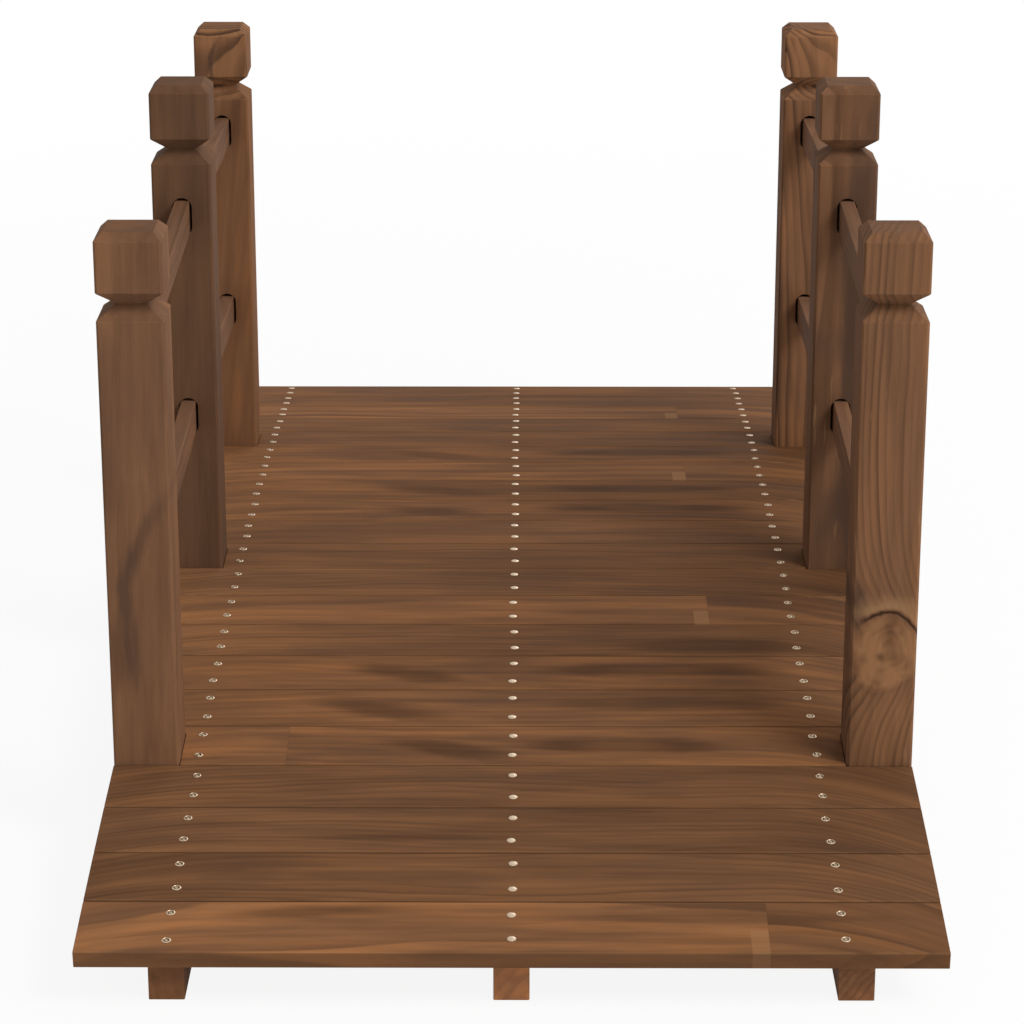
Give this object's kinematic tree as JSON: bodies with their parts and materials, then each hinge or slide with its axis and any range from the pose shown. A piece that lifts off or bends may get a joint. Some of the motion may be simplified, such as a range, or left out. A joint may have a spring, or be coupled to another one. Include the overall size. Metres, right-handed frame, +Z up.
{
  "type": "garden bridge",
  "caption": "Small arched wooden garden bridge: cross boards on curved stringers, with square grooved posts carrying two straight rails on each side.",
  "frame": {"origin": "centre of the bridge on the ground it stands on", "axes": "+Y along the bridge from the near end to the far end, +X to the right seen from the near end, +Z up"},
  "size_m": [0.67, 1.4988, 0.5703],
  "materials": {
    "deck_wood": "brown stain, satin",
    "post_wood": "brown stain, satin",
    "rail_wood": "brown stain, satin",
    "stringer_wood": "brown stain, matt",
    "screw_metal": "yellow zinc plated"
  },
  "bodies": {
    "root": {"stringer_left": "stringer_wood", "stringer_centre": "stringer_wood", "stringer_right": "stringer_wood", "deck_board_01": "deck_wood", "deck_board_02": "deck_wood", "deck_board_03": "deck_wood", "deck_board_04": "deck_wood", "deck_board_05": "deck_wood", "deck_board_06": "deck_wood", "deck_board_07": "deck_wood", "deck_board_08": "deck_wood", "deck_board_09": "deck_wood", "deck_board_10": "deck_wood", "deck_board_11": "deck_wood", "deck_board_12": "deck_wood", "deck_board_13": "deck_wood", "deck_board_14": "deck_wood", "deck_board_15": "deck_wood", "deck_board_16": "deck_wood", "deck_board_17": "deck_wood", "deck_board_18": "deck_wood", "deck_board_19": "deck_wood", "deck_board_20": "deck_wood", "deck_board_21": "deck_wood", "post_left_near": "post_wood", "post_left_middle": "post_wood", "post_left_far": "post_wood", "post_right_near": "post_wood", "post_right_middle": "post_wood", "post_right_far": "post_wood", "rail_left_near_upper": "rail_wood", "rail_left_near_lower": "rail_wood", "rail_left_far_upper": "rail_wood", "rail_left_far_lower": "rail_wood", "rail_right_near_upper": "rail_wood", "rail_right_near_lower": "rail_wood", "rail_right_far_upper": "rail_wood", "rail_right_far_lower": "rail_wood"}
  },
  "joints": []
}
